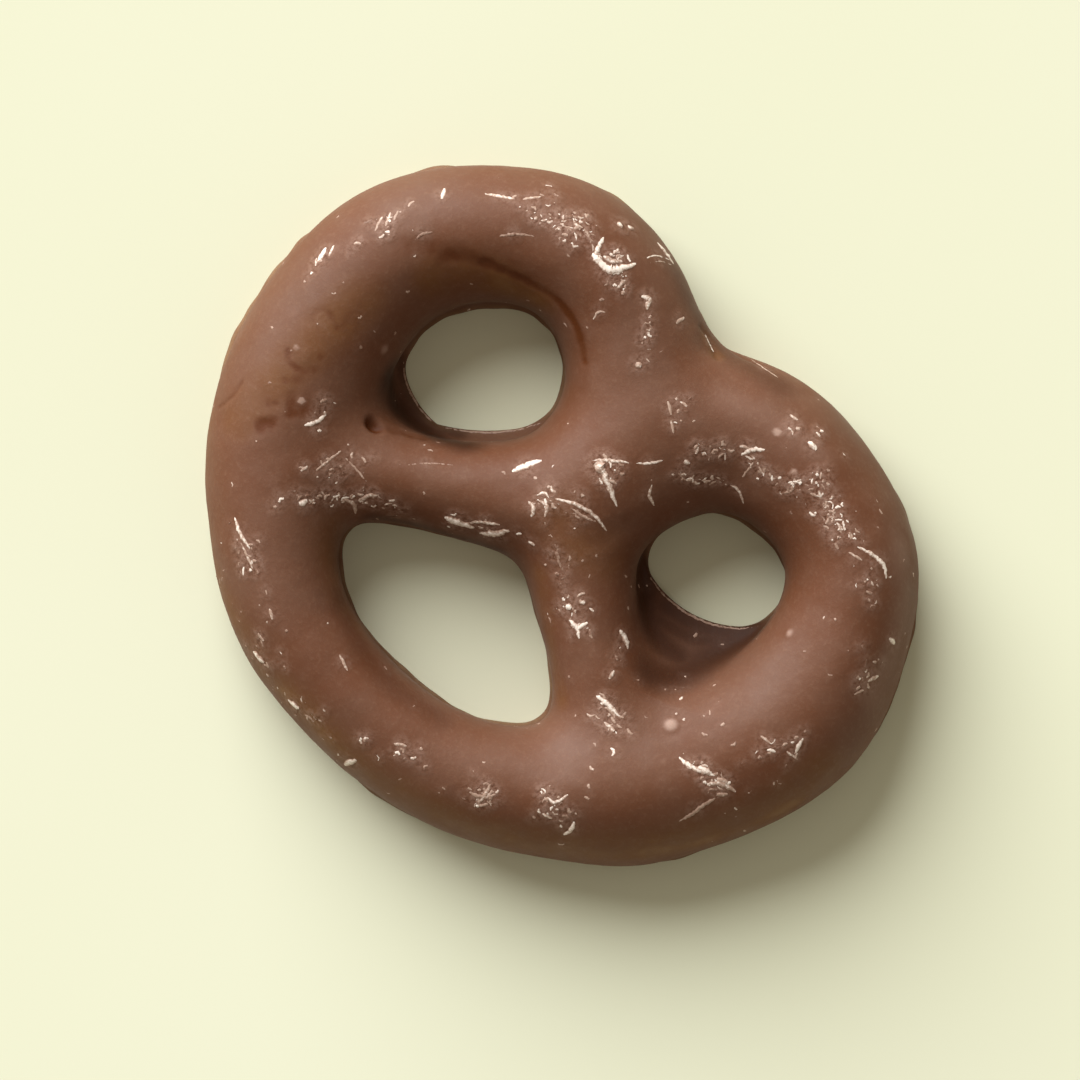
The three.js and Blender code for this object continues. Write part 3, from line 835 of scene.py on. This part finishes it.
def add_clusters(slivers):
    for middle, long, short, degrees, count, tone in CLUSTERS.values():
        turn = math.radians(degrees)
        long_side = long * np.array([math.cos(turn), -math.sin(turn)])
        short_side = short * np.array([math.sin(turn), math.cos(turn)])
        for _ in range(count):
            along, across = RANDOM.normal(0, CLUSTER_SPREAD, 2)
            pixel = middle + long_side * along + short_side * across
            point = drape(slivers.surface, from_photo([pixel]))[0]
            heading = IMAGE_RIGHT + turn + RANDOM.normal(0, CLUSTER_TURN_SPREAD)
            aim = np.array([math.cos(heading), math.sin(heading), 0])
            length = RANDOM.uniform(*CLUSTER_LENGTH) * RANDOM.uniform(*CLUSTER_SHORTENED)
            width = RANDOM.uniform(*CLUSTER_WIDTH)
            own_tone = tone + RANDOM.normal(0, CLUSTER_TONE_SPREAD)
            slivers.add_short(point, aim, length, width, own_tone)


def add_loose(slivers, points, normals):
    """Slivers anywhere on the top, and alone and in clusters on the sides."""
    on_top = np.flatnonzero(normals[:, 2] > TOP_FACING)
    on_sides = np.flatnonzero((abs(normals[:, 2]) < SIDE_FACING) & (points[:, 2] > SIDE_FROM))
    middles = points[RANDOM.choice(on_sides, SIDE_CLUSTERS, replace=False)]
    for number in range(LOOSE_ON_TOP + LOOSE_ON_SIDES):
        if number < LOOSE_ON_TOP:
            point = points[RANDOM.choice(on_top)]
        elif number % 2:
            point = points[RANDOM.choice(on_sides)]
        else:
            point = middles[RANDOM.integers(SIDE_CLUSTERS)]
            point = point + RANDOM.normal(0, SIDE_CLUSTER_SPREAD, 3)
        aim = RANDOM.normal(size=3)
        aim /= np.linalg.norm(aim)
        length = RANDOM.uniform(*LOOSE_LENGTH)
        width = RANDOM.uniform(*LOOSE_WIDTH)
        slivers.add_short(point, aim, length, width, RANDOM.uniform(*LOOSE_TONE), LOOSE_RUB)


def scuffed(points, slivers):
    """How much the coating is rubbed dull at each point, from 0 to 1, round the slivers."""
    tree = tree_of(points)
    rubbed = np.zeros(len(points))
    for place, width, share in slivers.places:
        reach = SCUFF_REACH + width
        for _, index, distance in tree.find_range(place, reach):
            rubbed[index] += share * (SCUFF_LEAST + width) * (1 - distance / reach)
    return 1 - np.exp(-SCUFF_RATE * rubbed)


# ---- Pieces ----
def add_mesh(name, points, faces, material):
    """A mesh in the scene, from points in metres."""
    mesh = bpy.data.meshes.new(name)
    mesh.from_pydata(points, [], faces)
    mesh.materials.append(material)
    thing = bpy.data.objects.new(name, mesh)
    bpy.context.scene.collection.objects.link(thing)
    return thing


def add_chocolate(name, points, faces, attributes, material):
    """A smooth piece of the pretzel, with a number at each point for each attribute."""
    in_metres = (np.array(points) * UNIT).tolist()
    piece = add_mesh(name, in_metres, [tuple(face) for face in faces], material)
    for key, numbers in attributes.items():
        layer = piece.data.attributes.new(key, "FLOAT", "POINT")
        layer.data.foreach_set("value", np.array(numbers, np.float32))
    piece.data.shade_smooth()
    piece.data.set_sharp_from_angle(angle=SHARP_EDGE)
    return piece


# ---- Materials ----
def add_node(tree, kind, inputs, **settings):
    """A node with its settings made and its inputs set, or linked where one is a socket."""
    node = tree.nodes.new(kind)
    for key, value in settings.items():
        setattr(node, key, value)
    for key, value in inputs.items():
        if isinstance(value, bpy.types.NodeSocket):
            tree.links.new(value, node.inputs[key])
        else:
            node.inputs[key].default_value = value
    return node


def millimetres(tree):
    """The object's own coordinates, in millimetres."""
    place = add_node(tree, "ShaderNodeTexCoord", {}).outputs["Object"]
    scaled = add_node(tree, "ShaderNodeVectorMath", {0: place, "Scale": 1000}, operation="SCALE")
    return scaled.outputs["Vector"]


def noise(tree, place, size, detail=2.0, roughness=0.5):
    """Noise from 0 to 1 with features of a size in millimetres."""
    inputs = {"Vector": place, "Scale": 1 / size, "Detail": detail, "Roughness": roughness}
    return add_node(tree, "ShaderNodeTexNoise", inputs).outputs["Fac"]


def attribute(tree, name):
    return add_node(tree, "ShaderNodeAttribute", {}, attribute_name=name).outputs["Fac"]


def ramp(tree, value, start, end, low=0.0, high=1.0):
    """Value, from low to high as it goes smoothly from start to end."""
    inputs = {"Value": value, "From Min": start, "From Max": end, "To Min": low, "To Max": high}
    node = add_node(tree, "ShaderNodeMapRange", inputs, interpolation_type="SMOOTHSTEP")
    return node.outputs["Result"]


def maths(tree, operation, a, b):
    return add_node(tree, "ShaderNodeMath", {0: a, 1: b}, operation=operation).outputs[0]


def mixed(tree, factor, a, b):
    """Colour a, turned to colour b by a factor."""
    inputs = {0: factor, 6: a, 7: b}
    return add_node(tree, "ShaderNodeMix", inputs, data_type="RGBA").outputs[2]


def new_material(name):
    material = bpy.data.materials.new(name)
    material.use_nodes = True
    tree = material.node_tree
    return material, tree, tree.nodes["Principled BSDF"]


def chocolate_material():
    """Satin milk chocolate: mottled, stained in its dents, dull and dusty where rubbed, with
    painted shade, painted highlights and painted warm bounce light.
    """
    material, tree, shader = new_material("coating_chocolate")
    place = millimetres(tree)
    scuff = attribute(tree, "scuff")
    times = lambda a, b: maths(tree, "MULTIPLY", a, b)
    plus = lambda a, b: maths(tree, "ADD", a, b)
    blotches = lambda size, detail, *span: ramp(tree, noise(tree, place, size, detail), *span)

    grey = plus(blotches(7.0, 3, 0.35, 0.68, 0, 0.6), blotches(1.4, 3, 0.35, 0.7, 0.08, 0.3))
    color = mixed(tree, grey, WARM_BROWN, GREY_BROWN)
    # Golden tint: partly the thin coating's colour, partly painted warm bounce light.
    gold = times(attribute(tree, "gold"), blotches(2.6, 4, 0.3, 0.7, 0.45, 1))
    color = mixed(tree, gold, color, GOLDEN_BROWN)
    color = mixed(tree, ramp(tree, gold, 0.8, 1.8), color, GOLDEN_TAN)
    fine = noise(tree, place, 0.3, 3, 0.7)
    color = mixed(tree, ramp(tree, fine, 0.45, 0.8, 0, 0.36), color, PALE_BROWN)
    stain_and_painted_light = attribute(tree, "stain_and_painted_light")
    ragged = plus(stain_and_painted_light, blotches(0.6, 3, 0.2, 0.8, -0.25, 0.25))
    # Stains, and painted shade in the hole, the creases, the folds and the dimples.
    color = mixed(tree, ramp(tree, ragged, 0, 1.05), color, STAIN_AND_PAINTED_SHADE_BROWN)
    # Painted shade.
    color = mixed(tree, attribute(tree, "dark"), color, DARK_BROWN)
    # Paler colour below 0: painted highlights, and the paler inside of the upper ring.
    color = mixed(tree, ramp(tree, stain_and_painted_light, -0.1, -0.9, 0, 0.8), color, SCUFF_AND_HIGHLIGHT_PALE)
    thin = times(attribute(tree, "thin"), blotches(1.6, 3, 0.3, 0.7, 0.2, 0.7))
    color = mixed(tree, thin, color, RIM_TAN)
    dust = noise(tree, place, 0.28, 3, 0.6)
    film = times(scuff, ramp(tree, dust, 0.35, 0.7, 0.05, 0.42))
    dark_spots = times(scuff, ramp(tree, dust, 0.44, 0.32, 0, 0.45))
    color = mixed(tree, film, color, SCUFF_AND_HIGHLIGHT_PALE)
    color = mixed(tree, dark_spots, color, DARK_BROWN)
    tree.links.new(color, shader.inputs["Base Color"])

    dull = blotches(2.2, 4, 0.3, 0.72, 0.56, 0.66)
    tree.links.new(plus(dull, times(scuff, 0.06)), shader.inputs["Roughness"])
    shader.inputs["IOR"].default_value = 1.45
    shader.inputs["Specular IOR Level"].default_value = 0.4
    shader.inputs["Subsurface Weight"].default_value = 0.08
    shader.inputs["Subsurface Radius"].default_value = (1.0, 0.45, 0.25)
    shader.inputs["Subsurface Scale"].default_value = 0.0008

    inputs = {"Height": fine, "Strength": 0.35, "Distance": 0.00005}
    grain = add_node(tree, "ShaderNodeBump", inputs).outputs["Normal"]
    inputs = {"Height": times(scuff, dust), "Strength": 0.6, "Distance": 0.00014, "Normal": grain}
    bump = add_node(tree, "ShaderNodeBump", inputs).outputs["Normal"]
    tree.links.new(bump, shader.inputs["Normal"])
    return material


def sliver_material():
    """Raised chocolate, and the slivers that paint highlights: matt, brown at its foot and up to
    cream white on its ridge.
    """
    material, tree, shader = new_material("raised_chocolate_and_painted_highlights")
    grain = noise(tree, millimetres(tree), 0.12, 2)
    tone = maths(tree, "ADD", attribute(tree, "tone"), ramp(tree, grain, 0.3, 0.7, -0.2, 0.2))
    color = mixed(tree, ramp(tree, tone, -0.3, 0.4), BROWN_SLIVER, TAN_SLIVER)
    color = mixed(tree, ramp(tree, tone, 0.4, 0.9), color, CREAM_SLIVER)
    tree.links.new(color, shader.inputs["Base Color"])
    tree.links.new(ramp(tree, grain, 0.3, 0.7, 0.45, 0.7), shader.inputs["Roughness"])
    return material


def floor_material():
    """A pale, matt surface."""
    material, tree, shader = new_material("pale_floor")
    place = millimetres(tree)
    shade = ramp(tree, noise(tree, place, 60, 2), 0.3, 0.7, 0.0, 0.06)
    tree.links.new(mixed(tree, shade, FLOOR_CREAM, (1, 1, 1, 1)), shader.inputs["Base Color"])
    shader.inputs["Roughness"].default_value = 0.9
    shader.inputs["Specular IOR Level"].default_value = 0.2
    return material


# ---- Stage, light and camera ----
def toward(turn):
    """The level direction at an angle from the photograph's right, in the frame."""
    angle = IMAGE_RIGHT + turn
    return Vector((math.cos(angle), math.sin(angle), 0))


UP = Vector((0, 0, 1))


def add_floor():
    half = FLOOR_SIDE / 2
    corners = [(-half, -half, 0), (half, -half, 0), (half, half, 0), (-half, half, 0)]
    floor = add_mesh("floor", corners, [(0, 1, 2, 3)], floor_material())


def add_light(name, place, size, power):
    lamp = bpy.data.lights.new(name, "AREA")
    lamp.shape = "DISK"
    lamp.size = size
    lamp.energy = power
    light = bpy.data.objects.new(name, lamp)
    light.location = place
    light.rotation_euler = place.to_track_quat("Z", "Y").to_euler()
    bpy.context.scene.collection.objects.link(light)


def light_the_stage():
    aim = toward(WINDOW_TURN) * math.cos(WINDOW_RISE) + UP * math.sin(WINDOW_RISE)
    add_light("window", aim * WINDOW_DISTANCE, WINDOW_SIZE, WINDOW_POWER)
    world = bpy.data.worlds.new("studio")
    bpy.context.scene.world = world
    world.use_nodes = True
    background = world.node_tree.nodes["Background"]
    background.inputs["Color"].default_value = FILL_COLOR
    background.inputs["Strength"].default_value = FILL_STRENGTH
    bpy.context.scene.view_settings.view_transform = "Standard"


def add_camera():
    camera = bpy.data.objects.new("camera", bpy.data.cameras.new("camera"))
    camera.data.sensor_width = SENSOR_WIDTH
    camera.data.lens = SENSOR_WIDTH * CAMERA_DISTANCE * WIDTH_IN_VIEW / DESIGN_WIDTH
    camera.data.clip_start = 0.05
    camera.data.clip_end = 20
    turn = Matrix((toward(0), toward(math.pi / 2), UP)).transposed().to_4x4()
    camera.matrix_world = Matrix.Translation((0, 0, CAMERA_DISTANCE * UNIT)) @ turn
    bpy.context.scene.collection.objects.link(camera)
    bpy.context.scene.camera = camera


# ---- The pretzel ----
def add_pretzel():
    smooth_points, faces = surface_net()
    points, marks = relieved(smooth_points, faces)
    normals = outward(smooth_points)
    slivers = Slivers(BVHTree.FromPolygons(points.tolist(), faces.tolist()))
    add_lip_lines(slivers)
    add_scratches(slivers)
    add_clusters(slivers)
    add_loose(slivers, points, normals)

    marks["scuff"] = scuffed(points, slivers)
    thin = np.clip((THICK_FROM - points[:, 2]) / (THICK_FROM - THIN_UP_TO), 0, 1)
    marks["thin"] = np.where(smooth_points[:, 2] == 0, THIN_ON_BASE * thin, thin)
    coating = add_chocolate("coating", points, faces, marks, chocolate_material())
    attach(coating, "root")
    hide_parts("pretzel")

    tones = {"tone": slivers.tones}
    flecks = add_chocolate("flecks", slivers.points, slivers.faces, tones, sliver_material())
    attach(flecks, "root")
    for piece in (coating, flecks):
        print(piece.name, sum(len(face.vertices) - 2 for face in piece.data.polygons), "triangles")


add_camera()
add_pretzel()
add_floor()
light_the_stage()
